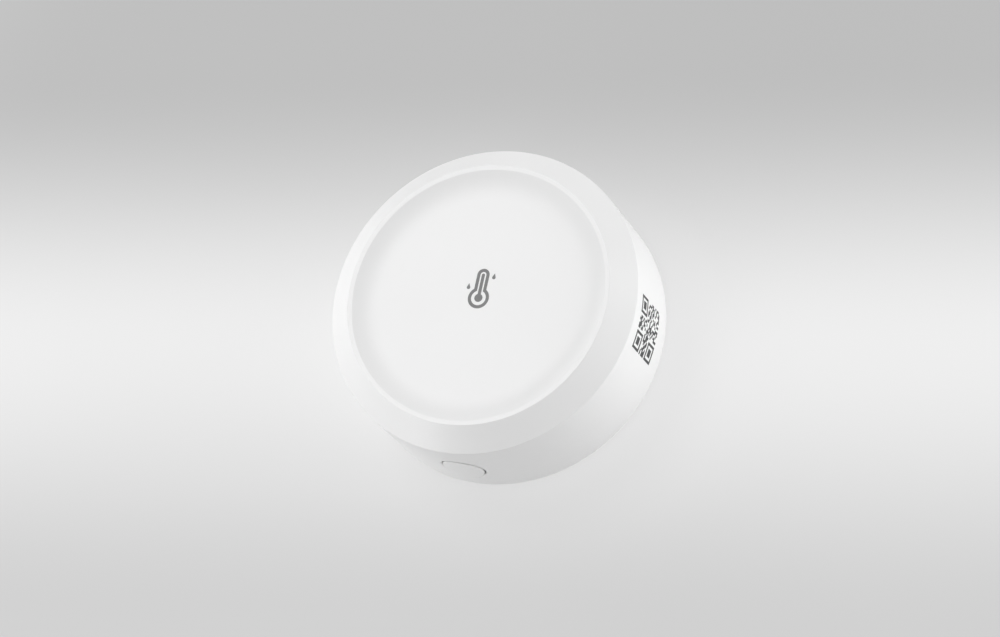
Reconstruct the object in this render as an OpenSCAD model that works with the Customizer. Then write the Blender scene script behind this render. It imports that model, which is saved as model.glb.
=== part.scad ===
// Round temperature and humidity sensor, lying on its back with the front facing +Z.
// The origin is the middle of the face that it rests on. The button is at -Y, the vents at +Y.

/* [Housing] */
// Diameter of the rim, the widest line of the housing
rim_d = 55; // [52:0.5:62]
// Height from the back edge of the wall to the front lip
housing_h = 19.5; // [18.5:0.1:24]
// Thickness of the wall and of the front
wall_t = 1.8; // [1.4:0.1:2.2]
// How much narrower the back edge is than the rim
wall_draft = 0.2; // [0:0.05:0.6]
// Outer diameter of the flat front lip
lip_d = 47; // [45:0.5:49]
// Width of the flat front lip
lip_w = 0.8; // [0.4:0.1:1.6]
// Height of the sloped bezel between the lip and the rim
bezel_h = 3.3; // [2.4:0.1:4.2]
// Depth of the dished front below the lip
dish_depth = 0.9; // [0.5:0.1:1.5]
// Radius of the curve that lifts the dish to the lip
dish_curve_r = 16.5; // [13:0.5:20]
// Rounding of the rim and of the back edge
edge_round = 0.3; // [0.1:0.05:0.5]
// Rounding of the lip's outer edge
lip_round = 0.15; // [0.05:0.05:0.3]

/* [Vents] */
// Number of vent slots in the wall
vent_count = 7; // [3:1:9]
// Width of a vent slot
vent_w = 1; // [0.6:0.1:1.4]
// Height of a vent slot
vent_h = 6; // [3:0.5:7]
// Spacing of the vent slots round the wall
vent_pitch = 2.4; // [1.8:0.1:3]

/* [Button] */
// Diameter of the button cap
button_d = 7.4; // [6:0.1:8.6]
// Gap round the button cap
button_gap = 0.2; // [0.1:0.02:0.3]
// How far the cap stands out of the wall
button_proud = 0.15; // [0:0.05:0.3]
// Travel of the button
button_travel = 0.5; // [0.2:0.05:0.7]
// Wall of the sleeve that guides the cap
sleeve_t = 1.1; // [0.8:0.1:1.3]
// Length of the sleeve inside the wall
sleeve_len = 3.3; // [2.4:0.1:4]
// Width of the flange that keeps the cap in
flange_w = 1; // [0.7:0.1:1.2]
// Thickness of that flange
flange_t = 1; // [0.6:0.1:1.4]
// Gap between the flange and the sleeve with the button out
flange_gap = 0.1; // [0.05:0.05:0.3]
// Diameter of the stem on the back of the cap
stem_d = 3; // [2:0.1:4]
// Length of that stem
stem_len = 1.1; // [0.8:0.1:2]

/* [Switch] */
// Width of the switch
switch_w = 6.2; // [5:0.1:7.4]
// Depth of the switch along the button's travel
switch_d = 3.6; // [3:0.1:4.4]
// Height of the switch below the board
switch_h = 5.2; // [4.6:0.1:6]
// Distance from the board to the switch's axis
switch_drop = 2.8; // [2.4:0.1:3.2]
// Diameter of the switch's plunger
plunger_d = 2.8; // [2:0.1:3.4]
// Gap round the plunger
plunger_gap = 0.15; // [0.05:0.05:0.3]
// Length of plunger that stands out of the switch
plunger_out = 1; // [0.9:0.1:1.6]
// Length of plunger inside the switch
plunger_in = 0.9; // [0.6:0.1:1.4]
// Thickness of the switch's metal cover
cover_t = 0.2; // [0.1:0.05:0.3]
// Width of the cover's legs
leg_w = 1.2; // [0.8:0.1:1.6]
// Diameter of the switch's pins
pin_d = 0.7; // [0.5:0.05:0.9]
// Distance between the switch's pins
pin_pitch = 4.5; // [3:0.1:4.8]
// Length of pins and legs above the board
pin_proud = 0.6; // [0.3:0.1:1]

/* [Twist lock] */
// Angle that the housing turns on the base to come off
twist_angle = 24; // [20:1:28]
// Angle left between a released lug and its tab
release_angle = 2; // [1:0.5:4]
// Number of lugs
lug_count = 3; // [2:1:3]
// Angle covered by one lug
lug_angle = 20; // [14:1:24]
// Thickness of a lug
lug_t = 1.1; // [0.8:0.1:1.4]
// Thickness of the upright that carries a lug
upright_t = 1.4; // [1:0.1:1.8]
// Thickness of a tab of the housing
tab_t = 1; // [0.8:0.1:1.3]
// Width of a tab of the housing
tab_w = 1.7; // [1.2:0.1:2.2]
// Angle covered by the stop at the end of a tab
stop_angle = 3; // [2:0.5:5]
// Gap between turning faces, round the axis and across it
turn_gap = 0.3; // [0.2:0.05:0.4]
// Gap between turning faces, along the axis
lock_gap = 0.2; // [0.1:0.05:0.3]

/* [Base] */
// Thickness of the base plate
base_t = 1.6; // [1.4:0.1:2]
// Gap between the base plate and the wall
base_gap = 0.25; // [0.15:0.05:0.5]
// How far the base stands out behind the wall's back edge
base_proud = 0.2; // [0.1:0.05:0.4]
// Diameter of the screw holes
hole_d = 4; // [3:0.1:4.6]
// Distance between the screw holes
hole_spacing = 34; // [32:0.5:36]
// Diameter of the countersinks
sink_d = 6.8; // [5.4:0.1:7.4]
// Depth of the countersinks
sink_h = 0.8; // [0.4:0.1:1]
// Diameter of the adhesive pad
pad_d = 25; // [16:0.5:25.5]
// Thickness of the adhesive pad
pad_t = 1; // [0.6:0.1:1.1]
// How far the pad stands out of its recess
pad_proud = 0.3; // [0.2:0.05:0.5]
// Gap round the pad in its recess
pad_gap = 0.3; // [0.1:0.05:0.5]
// Diameter of the ring on the base that keeps the cell in
rest_d = 20; // [14:0.5:22]
// Width of that ring
rest_w = 2; // [1:0.1:3]
// Height of that ring
rest_h = 0.7; // [0.6:0.05:1.2]

/* [Cell] */
// Diameter of the coin cell
cell_d = 24.5; // [20:0.1:25]
// Height of the coin cell
cell_h = 7.7; // [6.8:0.1:8.4]
// Diameter of the cell's cap
cap_d = 20.6; // [16:0.1:21]
// Height of the cap and gasket seat in the can
cap_seat = 0.5; // [0.3:0.1:1]
// How far the cap stands above the can
cap_proud = 0.3; // [0.2:0.05:0.5]
// Width of the cell's gasket
gasket_w = 0.4; // [0.2:0.05:0.6]
// Rounding of the can's lower edge
can_round = 0.5; // [0.2:0.1:1]
// Gap between the cell and the ring on the base
cell_gap = 0.2; // [0.1:0.05:0.3]

/* [Battery tray] */
// Thickness of the tray
tray_t = 1.2; // [1:0.1:1.6]
// Gap between the tray and the board
tray_gap = 0.4; // [0.2:0.05:0.8]
// Wall of the well round the cell
well_t = 1.3; // [1:0.1:1.6]
// Gap round the cell in the well
well_gap = 0.35; // [0.3:0.05:0.5]
// How far the well's end is short of the cell's face
well_short = 0.7; // [0.4:0.1:1.5]
// Thickness of the clips that hold the cell
clip_t = 0.5; // [0.4:0.05:0.6]
// Overlap of the clips on the cell
clip_bite = 0.4; // [0.2:0.05:0.8]
// Gap between the clips and the cell
clip_gap = 0.1; // [0.05:0.05:0.2]
// Angle covered by one clip
clip_angle = 24; // [12:1:36]
// Thickness of the finger that carries a clip
finger_t = 0.9; // [0.6:0.05:0.95]

/* [Contacts] */
// Thickness of the contact strips
contact_t = 0.2; // [0.1:0.05:0.25]
// Height of the sprung points of the negative contact
dimple_h = 0.1; // [0.05:0.05:0.2]
// Diameter of those points
dimple_d = 1.6; // [1:0.1:2.4]
// Width of the contact strips
strip_w = 4; // [3:0.1:5]
// Length of the negative contact
strip_len = 14; // [10:0.5:18]
// Length of the positive contact's foot on the board
foot_len = 3.6; // [2:0.1:4.5]
// Length of the positive contact along the cell
leg_len = 5.4; // [3:0.1:6]
// Gap between the positive contact and the cell
side_gap = 0.05; // [0.02:0.01:0.1]
// Gap round the positive contact in the tray
window_gap = 0.4; // [0.2:0.05:0.6]

/* [Board] */
// Thickness of the board
board_t = 1; // [0.8:0.1:1.6]
// Gap between the board's edge and the wall
board_gap = 1; // [0.6:0.1:1.6]
// Gap between the board and what passes through it
pass_gap = 0.15; // [0.1:0.05:0.3]
// Gap between the board or tray and the sleeve and switch
notch_gap = 0.6; // [0.3:0.05:0.8]
// Width of the slots that keep heat from the sensor
heat_slot_w = 1; // [0.6:0.1:1.4]
// Distance of the heat slots from the sensor
heat_slot_gap = 1.2; // [0.6:0.1:1.6]
// Length of the heat slots beside the sensor
heat_slot_len = 3.2; // [2:0.1:4]

/* [Screws and posts] */
// Diameter of the posts
post_d = 4.4; // [3.8:0.1:5]
// Distance of the posts from the board's edge
post_inset = 3.6; // [3:0.1:4.6]
// Diameter of the screws
screw_d = 2; // [1.6:0.1:2.4]
// Gap round the screws in the posts
bite_gap = 0.03; // [0.01:0.01:0.05]
// Length of the screws in the posts
screw_bite = 3.4; // [2:0.1:3.8]
// Depth of the posts' holes past the screws
hole_spare = 0.4; // [0.2:0.1:0.8]
// Diameter of the screw heads
head_d = 3.6; // [3.2:0.1:4.2]
// Height of the screw heads
head_h = 1.3; // [1:0.1:1.6]
// Width of the cross in the screw heads
cross_w = 0.5; // [0.3:0.05:0.7]
// Length of the cross in the screw heads
cross_len = 2.2; // [1.6:0.1:2.6]
// Depth of the cross in the screw heads
cross_h = 0.7; // [0.4:0.1:0.9]

/* [Board parts] */
// Width of the radio module
module_w = 12; // [10:0.1:13]
// Length of the radio module
module_len = 17; // [15.5:0.1:18.5]
// Thickness of the radio module
module_t = 0.8; // [0.6:0.1:1.2]
// Distance of the radio module from the board's edge
module_inset = 7.2; // [5:0.1:8]
// Margin between the radio module's edge and what it carries
module_margin = 0.75; // [0.4:0.05:1]
// Length of the shield can on the radio module
shield_len = 11; // [8:0.1:11.5]
// Height of the shield can
shield_h = 2; // [1.4:0.1:2.6]
// Wall of the shield can
shield_wall = 0.2; // [0.1:0.05:0.4]
// Length of the antenna on the radio module
antenna_len = 8; // [5:0.1:8.5]
// Width of the antenna
antenna_w = 1.8; // [1:0.1:2]
// Height of the antenna
antenna_h = 1; // [0.6:0.1:1.6]
// Distance of the humidity sensor from the board's edge
sensor_inset = 3.2; // [2.4:0.1:4]
// Width of the humidity sensor
sensor_w = 3; // [2:0.1:4]
// Height of the humidity sensor
sensor_h = 1.1; // [0.8:0.1:1.6]
// Diameter of the humidity sensor's port
port_d = 1.6; // [1:0.1:1.8]
// Depth of the humidity sensor's port
port_h = 0.4; // [0.2:0.05:0.6]
// Thickness of the membrane in the port
filter_t = 0.2; // [0.1:0.05:0.2]
// Length of the status light
led_len = 2; // [1:0.1:3]
// Width of the status light
led_w = 1.3; // [0.6:0.1:2]
// Height of the status light
led_h = 0.8; // [0.4:0.1:1.4]
// Length of the crystal
crystal_len = 3.2; // [2:0.1:4]
// Width of the crystal
crystal_w = 2.5; // [1.6:0.1:3]
// Height of the crystal
crystal_h = 0.7; // [0.4:0.1:1]
// Distance from the board's edge to the middle of the memory chip and the buffer capacitor
store_inset = 14.2; // [12:0.1:15]
// Length of the memory chip
memory_len = 5; // [3:0.1:6]
// Width of the memory chip
memory_w = 4; // [3:0.1:5]
// Height of the memory chip
memory_h = 0.9; // [0.6:0.1:1.6]
// Length of the buffer capacitor
buffer_len = 7.3; // [5:0.1:8]
// Width of the buffer capacitor
buffer_w = 4.3; // [3:0.1:5]
// Height of the buffer capacitor
buffer_h = 2.8; // [1.6:0.1:3.2]
// Length of a small chip part
passive_len = 1.6; // [1:0.1:1.8]
// Width of a small chip part
passive_w = 0.8; // [0.5:0.1:1]
// Height of a small chip part
passive_h = 0.6; // [0.3:0.1:0.9]
// Free space beside and between the small chip parts
passive_gap = 0.85; // [0.4:0.05:1]
// Number of small chip parts in a row
passive_columns = 5; // [2:1:5]
// Number of rows of small chip parts
passive_rows = 2; // [1:1:2]

/* [Hidden] */
$fn = 96;
// Steps of a rounded corner in an outline
round_steps = 6;
// How far shapes of one piece run into each other, and cuts run past a face
fuse = 0.4;

// Heights, counted up from the face that the pad rests on
base_z = pad_proud;
edge_z = base_z + base_proud;
top_z = edge_z + housing_h;
rim_z = top_z - bezel_h;
ceiling_z = top_z - dish_depth - wall_t;
base_top_z = base_z + base_t;
tab_z = base_top_z + lock_gap;
lug_z = tab_z + tab_t + lock_gap;
lug_top_z = lug_z + lug_t;
cell_z = base_top_z + rest_h + cell_gap;
cell_top_z = cell_z + cell_h;
board_z = cell_top_z + contact_t + dimple_h;
board_top_z = board_z + board_t;
tray_top_z = board_z - tray_gap;
tray_z = tray_top_z - tray_t;
well_end_z = cell_z + well_short;
clip_top_z = cell_z - clip_gap;
button_z = board_z - switch_drop;

// Radii, counted out from the round axis
rim_r = rim_d / 2;
back_r = rim_r - wall_draft / 2;
lip_r = lip_d / 2;
dish_r = lip_r - lip_w;
inner_r = rim_r - wall_t;
base_r = inner_r - base_gap;
tab_r = inner_r - tab_w;
upright_r = tab_r - turn_gap;
lug_r = inner_r - turn_gap;
board_r = inner_r - board_gap;
post_at = board_r - post_inset;
cell_r = cell_d / 2;
well_r = cell_r + well_gap;
sleeve_r = inner_r - sleeve_len;

// The bezel's slope, moved in by the wall's thickness, gives the inner shoulder
bezel_run = rim_r - lip_r;
bezel_len = norm([bezel_run, bezel_h]);
slope_drop = wall_t * bezel_len / bezel_run;
slope_rate = bezel_h / bezel_run;
shoulder_z = top_z - (inner_r - lip_r) * slope_rate - slope_drop;
ceiling_r = inner_r - (ceiling_z - shoulder_z) / slope_rate;

// The dish is flat in the middle and then follows one curve up to the lip
dish_run = sqrt(2 * dish_curve_r * dish_depth - dish_depth * dish_depth);
dish_flat_r = dish_r - dish_run;

// The button's stack, counted out along its axis
bore_d = button_d + 2 * button_gap;
sleeve_d = bore_d + 2 * sleeve_t;
flange_out = sleeve_r - flange_gap;
stem_out = flange_out - flange_t;
plunger_top = stem_out - stem_len;
switch_front = plunger_top - plunger_out;
switch_back = switch_front - switch_d;
switch_z = board_z - switch_h;
plunger_bore = plunger_d + 2 * plunger_gap;
plunger_room = plunger_in + button_travel + plunger_gap;
cover_front = switch_front + cover_t;
notch_half = max(sleeve_d, switch_w) / 2 + notch_gap;

// Angles of the twist lock, seen from the housing
tab_angle = 2 * (twist_angle - release_angle) - lug_angle;
lock_at = 90;
stop_from = lug_angle / 2 + turn_gap / lug_r * 180 / PI;

// Posts and cell clips round the axis
post_count = 4;
post_turn = 45;
clip_turns = [60, 240];

// Places on the board
sensor_at = [0, board_r - sensor_inset];
module_at = [module_w / 2 + module_inset - board_r, 2];
led_at = [0, 1.5];
crystal_at = [3.5, -7];
memory_at = [board_r - store_inset, -4.5];
buffer_at = [board_r - store_inset, 4.5];
passive_at = [-5, -11.5];

function unit(v) = v / norm(v);

// Points of a corner at p between its neighbours a and b, rounded with radius r
function corner(a, p, b, r) = r == 0 ? [p] :
    let (
        u = unit(a - p),
        v = unit(b - p),
        half = acos(u * v) / 2,
        middle = p + unit(u + v) * r / sin(half),
        first = p + u * r / tan(half) - middle,
        turn = (u.x * v.y - u.y * v.x > 0 ? -1 : 1) * (180 - 2 * half)
    )
    [for (i = [0:round_steps])
        let (t = turn * i / round_steps)
        middle + [first.x * cos(t) - first.y * sin(t), first.x * sin(t) + first.y * cos(t)]];

// Outline whose corners are given as [x, y, rounding]
function rounded(c) = [
    for (i = [0:len(c) - 1])
        let (
            a = c[(i + len(c) - 1) % len(c)],
            p = c[i],
            b = c[(i + 1) % len(c)]
        )
        each corner([a.x, a.y], [p.x, p.y], [b.x, b.y], p.z)
];

// Part of a ring, centred on the angle mid
module sector(mid, span, r_in, r_out, z_low, z_high) {
    rotate([0, 0, mid - span / 2])
        rotate_extrude(angle = span)
            translate([r_in, z_low])
                square([r_out - r_in, z_high - z_low]);
}

// Round bar along the button's axis, between two distances from the round axis
module button_bar(d, out_low, out_high) {
    translate([0, -out_low, button_z])
        rotate([90, 0, 0])
            cylinder(h = out_high - out_low, d = d);
}

// Box centred on a place of the board, standing on height z
module chip(at, size, z) {
    translate([at.x - size.x / 2, at.y - size.y / 2, z])
        cube(size);
}

// Copies its children to every post
module at_posts() {
    for (i = [0:post_count - 1])
        rotate([0, 0, post_turn + i * 360 / post_count])
            translate([post_at, 0, 0])
                children();
}

// Copies its children to every lug or tab
module at_locks() {
    for (i = [0:lug_count - 1])
        rotate([0, 0, lock_at + i * 360 / lug_count])
            children();
}

// Solid outside of the wall, grown by a margin, as a cone between the back edge and the rim
module wall_cone(margin) {
    translate([0, 0, edge_z])
        cylinder(h = rim_z - edge_z, r1 = back_r + margin, r2 = rim_r + margin);
}

// Section of the housing without the dish
module housing_outline() {
    polygon(rounded([
        [inner_r, edge_z, 0],
        [back_r, edge_z, edge_round],
        [rim_r, rim_z, edge_round],
        [lip_r, top_z, lip_round],
        [0, top_z, 0],
        [0, ceiling_z, 0],
        [ceiling_r, ceiling_z, 0],
        [inner_r, shoulder_z, 0]
    ]));
}

// Section of the hollow that makes the dish
module dish_outline() {
    floor_z = top_z - dish_depth;
    translate([-fuse, floor_z])
        square([dish_flat_r + fuse, dish_depth + fuse]);
    intersection() {
        translate([dish_flat_r, floor_z + dish_curve_r])
            circle(r = dish_curve_r, $fn = 360);
        translate([dish_flat_r, floor_z])
            square([dish_run, dish_depth + fuse]);
    }
}

// One upright slot through the wall
module vent_slot() {
    straight = vent_h - vent_w;
    translate([inner_r - fuse, -vent_w / 2, board_z - straight / 2])
        cube([wall_t + 2 * fuse, vent_w, straight]);
    for (side = [-1, 1])
        translate([inner_r - fuse, 0, board_z + side * straight / 2])
            rotate([0, 90, 0])
                cylinder(h = wall_t + 2 * fuse, d = vent_w);
}

module front_housing() {
    color("white")
    difference() {
        union() {
            rotate_extrude()
                difference() {
                    housing_outline();
                    dish_outline();
                }
            button_bar(sleeve_d, sleeve_r, inner_r + fuse);
            at_posts()
                translate([0, 0, board_top_z])
                    cylinder(h = ceiling_z - board_top_z + fuse, d = post_d);
            at_locks() {
                sector(0, tab_angle, tab_r, inner_r + fuse, tab_z, tab_z + tab_t);
                sector(
                    stop_from + stop_angle / 2, stop_angle,
                    tab_r + turn_gap, inner_r + 2 * fuse, tab_z + tab_t - fuse, lug_top_z
                );
            }
        }
        button_bar(bore_d, sleeve_r - fuse, rim_r + fuse);
        at_posts()
            translate([0, 0, board_top_z - fuse])
                cylinder(h = screw_bite + hole_spare + fuse, d = screw_d + 2 * bite_gap);
        for (i = [0:vent_count - 1])
            rotate([0, 0, 90 + (i - (vent_count - 1) / 2) * vent_pitch / rim_r * 180 / PI])
                vent_slot();
    }
}

module button_cap() {
    color("white") {
        intersection() {
            button_bar(button_d, flange_out - fuse, rim_r + button_proud + fuse);
            wall_cone(button_proud);
        }
        button_bar(button_d + 2 * flange_w, stem_out, flange_out);
        button_bar(stem_d, plunger_top, stem_out + fuse);
    }
}

module mounting_base() {
    color("gainsboro")
    difference() {
        union() {
            translate([0, 0, base_z])
                cylinder(h = base_t, r = base_r);
            sector(
                0, 360,
                rest_d / 2 - rest_w, rest_d / 2,
                base_top_z - fuse, base_top_z + rest_h
            );
            at_locks() {
                sector(
                    0, lug_angle,
                    upright_r - upright_t, upright_r,
                    base_top_z - fuse, lug_top_z
                );
                sector(0, lug_angle, upright_r - fuse, lug_r, lug_z, lug_top_z);
            }
        }
        translate([0, 0, base_z - fuse])
            cylinder(h = pad_t - pad_proud + fuse, d = pad_d + 2 * pad_gap);
        for (side = [-1, 1])
            translate([side * hole_spacing / 2, 0, base_z]) {
                translate([0, 0, -fuse])
                    cylinder(h = base_t + 2 * fuse, d = hole_d);
                translate([0, 0, base_t - sink_h])
                    cylinder(h = sink_h, d1 = hole_d, d2 = sink_d);
            }
    }
}

module adhesive_pad() {
    color("lightgray")
        cylinder(h = pad_t, d = pad_d);
}

// Outline of the free space that sleeve, switch and button need in a flat plate
module button_notch(from_out, z_low, z_high) {
    translate([-notch_half, -rim_r, z_low])
        cube([2 * notch_half, rim_r - from_out, z_high - z_low]);
}

// Finger of the well with a lip under the cell
module cell_clip(mid) {
    lip_z = clip_top_z - clip_t;
    finger_in = well_r + (well_t - finger_t) / 2;
    finger_out = finger_in + finger_t;
    rotate([0, 0, mid - clip_angle / 2])
        rotate_extrude(angle = clip_angle)
            polygon([
                [finger_in, well_end_z + fuse],
                [finger_in, clip_top_z],
                [cell_r - clip_bite, clip_top_z],
                [cell_r - clip_bite, lip_z],
                [finger_out, lip_z],
                [finger_out, well_end_z + fuse]
            ]);
}

module battery_tray() {
    window_w = strip_w + 2 * window_gap;
    window_out = cell_r + side_gap + contact_t + foot_len + window_gap;
    window_z = board_z - leg_len - window_gap;
    color("whitesmoke")
    difference() {
        union() {
            translate([0, 0, tray_z])
                cylinder(h = tray_t, r = board_r);
            translate([0, 0, well_end_z])
                cylinder(h = tray_top_z - well_end_z, r = well_r + well_t);
            at_posts()
                translate([0, 0, tray_z])
                    cylinder(h = board_z - tray_z, d = post_d);
            for (mid = clip_turns)
                cell_clip(mid);
        }
        translate([0, 0, well_end_z - fuse])
            cylinder(h = tray_top_z - well_end_z + 2 * fuse, r = well_r);
        button_notch(switch_back - notch_gap, tray_z - fuse, board_z + fuse);
        translate([0, -window_w / 2, window_z])
            cube([window_out, window_w, board_z - window_z]);
        at_posts()
            translate([0, 0, tray_z - fuse])
                cylinder(h = board_z - tray_z + 2 * fuse, d = screw_d + 2 * pass_gap);
    }
}

module tray_screws() {
    color("silver")
    at_posts()
        difference() {
            union() {
                translate([0, 0, tray_z - head_h])
                    cylinder(h = head_h, d = head_d);
                translate([0, 0, tray_z - fuse])
                    cylinder(h = board_top_z + screw_bite - tray_z + fuse, d = screw_d);
            }
            for (turn = [0, 90])
                rotate([0, 0, turn])
                    translate([-cross_len / 2, -cross_w / 2, tray_z - head_h - fuse])
                        cube([cross_len, cross_w, cross_h + fuse]);
        }
}

module coin_cell_can() {
    can_top_z = cell_top_z - cap_proud;
    color("silver")
    rotate_extrude()
        difference() {
            polygon(rounded([
                [0, cell_z, 0],
                [cell_r, cell_z, can_round],
                [cell_r, can_top_z, can_round / 2],
                [0, can_top_z, 0]
            ]));
            translate([-fuse, can_top_z - cap_seat])
                square([cap_d / 2 + gasket_w + fuse, cap_seat + fuse]);
        }
}

module coin_cell_gasket() {
    can_top_z = cell_top_z - cap_proud;
    color("dimgray")
        sector(0, 360, cap_d / 2, cap_d / 2 + gasket_w, can_top_z - cap_seat, can_top_z);
}

module coin_cell_cap() {
    color("silver")
        translate([0, 0, cell_top_z - cap_proud - cap_seat])
            cylinder(h = cap_proud + cap_seat, d = cap_d);
}

module positive_contact() {
    leg_x = cell_r + side_gap;
    color("goldenrod") {
        translate([leg_x, -strip_w / 2, board_z - contact_t])
            cube([contact_t + foot_len, strip_w, contact_t]);
        translate([leg_x, -strip_w / 2, board_z - leg_len])
            cube([contact_t, strip_w, leg_len]);
    }
}

module negative_contact() {
    color("goldenrod") {
        translate([-strip_len / 2, -strip_w / 2, board_z - contact_t])
            cube([strip_len, strip_w, contact_t]);
        for (side = [-1, 1])
            translate([side * (strip_len - strip_w) / 2, 0, cell_top_z])
                cylinder(h = dimple_h + contact_t / 2, d = dimple_d);
    }
}

module main_board() {
    slot_x = sensor_w / 2 + heat_slot_gap;
    slot_y = sensor_at.y - sensor_w / 2 - heat_slot_gap;
    leg_hole = leg_w + 2 * pass_gap;
    color("darkgreen")
    difference() {
        translate([0, 0, board_z])
            cylinder(h = board_t, r = board_r);
        button_notch(cover_front, board_z - fuse, board_top_z + fuse);
        at_posts()
            translate([0, 0, board_z - fuse])
                cylinder(h = board_t + 2 * fuse, d = screw_d + 2 * pass_gap);
        for (side = [-1, 1]) {
            chip(
                [side * (slot_x + heat_slot_w / 2), slot_y + heat_slot_len / 2 + heat_slot_w],
                [heat_slot_w, heat_slot_len, board_t + 2 * fuse], board_z - fuse
            );
            translate([side * pin_pitch / 2, -(switch_front + switch_back) / 2, board_z - fuse])
                cylinder(h = board_t + 2 * fuse, d = pin_d + 2 * pass_gap);
            chip(
                [side * (switch_w + cover_t) / 2, -switch_front + leg_w],
                [cover_t + 2 * pass_gap, leg_hole, board_t + 2 * fuse], board_z - fuse
            );
        }
        chip(
            [0, slot_y - heat_slot_w / 2],
            [2 * slot_x, heat_slot_w, board_t + 2 * fuse], board_z - fuse
        );
    }
}

module switch_body() {
    color("black")
    difference() {
        translate([-switch_w / 2, -switch_front, switch_z])
            cube([switch_w, switch_d, switch_h]);
        button_bar(plunger_bore, switch_front - plunger_room, switch_front + fuse);
    }
}

module switch_cover() {
    color("lightsteelblue") {
        difference() {
            translate([-switch_w / 2 - cover_t, -cover_front, switch_z])
                cube([switch_w + 2 * cover_t, cover_t, switch_h]);
            button_bar(plunger_bore, switch_front - fuse, cover_front + fuse);
        }
        for (side = [-1, 1]) {
            chip(
                [side * (switch_w + cover_t) / 2, -cover_front + switch_d / 2],
                [cover_t, switch_d, switch_h], switch_z
            );
            chip(
                [side * (switch_w + cover_t) / 2, -switch_front + leg_w],
                [cover_t, leg_w, board_t + pin_proud + fuse], board_z - fuse
            );
        }
    }
}

module switch_pins() {
    color("silver")
    for (side = [-1, 1])
        translate([side * pin_pitch / 2, -(switch_front + switch_back) / 2, board_z])
            cylinder(h = board_t + pin_proud, d = pin_d);
}

module switch_plunger() {
    color("dimgray")
        button_bar(plunger_d, switch_front - plunger_in, plunger_top);
}

module humidity_sensor() {
    color("darkslategray")
    difference() {
        chip(sensor_at, [sensor_w, sensor_w, sensor_h], board_top_z);
        translate([sensor_at.x, sensor_at.y, board_top_z + sensor_h - port_h])
            cylinder(h = port_h + fuse, d = port_d);
    }
}

module sensor_filter() {
    color("white")
        translate([sensor_at.x, sensor_at.y, board_top_z + sensor_h - port_h])
            cylinder(h = filter_t, d = port_d);
}

module radio_module() {
    color("midnightblue")
        chip(module_at, [module_w, module_len, module_t], board_top_z);
}

module shield_can() {
    shield_at = module_at + [0, (shield_len - module_len) / 2 + module_margin];
    shield_w = module_w - 2 * module_margin;
    shield_z = board_top_z + module_t;
    wall = 2 * shield_wall;
    color("silver")
    difference() {
        chip(shield_at, [shield_w, shield_len, shield_h], shield_z);
        chip(
            shield_at,
            [shield_w - wall, shield_len - wall, shield_h - shield_wall + fuse],
            shield_z - fuse
        );
    }
}

module chip_antenna() {
    antenna_at = module_at + [0, (module_len - antenna_w) / 2 - module_margin];
    color("ivory")
        chip(antenna_at, [antenna_len, antenna_w, antenna_h], board_top_z + module_t);
}

module status_led() {
    color("lightyellow")
        chip(led_at, [led_len, led_w, led_h], board_top_z);
}

module crystal() {
    color("silver")
        chip(crystal_at, [crystal_len, crystal_w, crystal_h], board_top_z);
}

module memory_chip() {
    color("black")
        chip(memory_at, [memory_len, memory_w, memory_h], board_top_z);
}

module buffer_capacitor() {
    color("orange")
        chip(buffer_at, [buffer_len, buffer_w, buffer_h], board_top_z);
}

module chip_passives() {
    color("tan")
    for (column = [0:passive_columns - 1])
        for (row = [0:passive_rows - 1])
            chip(
                passive_at + [column * (passive_len + passive_gap), -row * (passive_w + passive_gap)],
                [passive_len, passive_w, passive_h], board_top_z
            );
}

front_housing();
button_cap();
mounting_base();
adhesive_pad();
battery_tray();
tray_screws();
coin_cell_can();
coin_cell_gasket();
coin_cell_cap();
positive_contact();
negative_contact();
main_board();
switch_body();
switch_cover();
switch_pins();
switch_plunger();
humidity_sensor();
sensor_filter();
radio_module();
shield_can();
chip_antenna();
status_led();
crystal();
memory_chip();
buffer_capacitor();
chip_passives();
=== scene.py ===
import bpy
import numpy as np
from mathutils import Matrix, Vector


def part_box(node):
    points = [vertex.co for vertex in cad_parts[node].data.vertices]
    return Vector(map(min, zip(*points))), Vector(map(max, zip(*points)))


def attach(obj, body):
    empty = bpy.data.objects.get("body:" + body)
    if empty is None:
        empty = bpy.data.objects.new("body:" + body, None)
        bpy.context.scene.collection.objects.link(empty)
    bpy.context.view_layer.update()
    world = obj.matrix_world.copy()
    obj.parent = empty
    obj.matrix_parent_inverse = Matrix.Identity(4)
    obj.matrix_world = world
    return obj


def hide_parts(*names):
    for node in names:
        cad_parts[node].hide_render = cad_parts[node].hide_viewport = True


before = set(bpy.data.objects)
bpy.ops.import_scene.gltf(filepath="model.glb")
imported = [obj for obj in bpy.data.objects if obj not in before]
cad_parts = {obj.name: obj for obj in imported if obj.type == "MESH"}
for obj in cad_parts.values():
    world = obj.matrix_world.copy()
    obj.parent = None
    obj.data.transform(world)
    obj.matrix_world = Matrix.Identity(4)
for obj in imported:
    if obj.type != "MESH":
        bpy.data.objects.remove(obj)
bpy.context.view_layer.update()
mm = 0.001  # sizes below are in millimetres, the scene is in metres
print("frame loaded with", len(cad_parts), "nodes")


# Grids: a surface is an array of rows and columns of points

# Quads between neighbouring rows and columns of an index grid
def openFaces(index):
    return np.stack([index[:-1, :-1], index[1:, :-1], index[1:, 1:], index[:-1, 1:]], axis=-1)


# The same, where the last column joins the first
def gridFaces(index):
    return openFaces(np.concatenate([index, index[:, :1]], axis=1))


# Normal at each node: the step along the rows crossed with the step along the columns
def gridNormals(points):
    alongRows = np.gradient(points, axis=0)
    alongCols = np.roll(points, -1, axis=1) - np.roll(points, 1, axis=1)
    normal = np.cross(alongRows, alongCols)
    return normal / np.maximum(np.linalg.norm(normal, axis=-1, keepdims=True), 1e-12)


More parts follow.
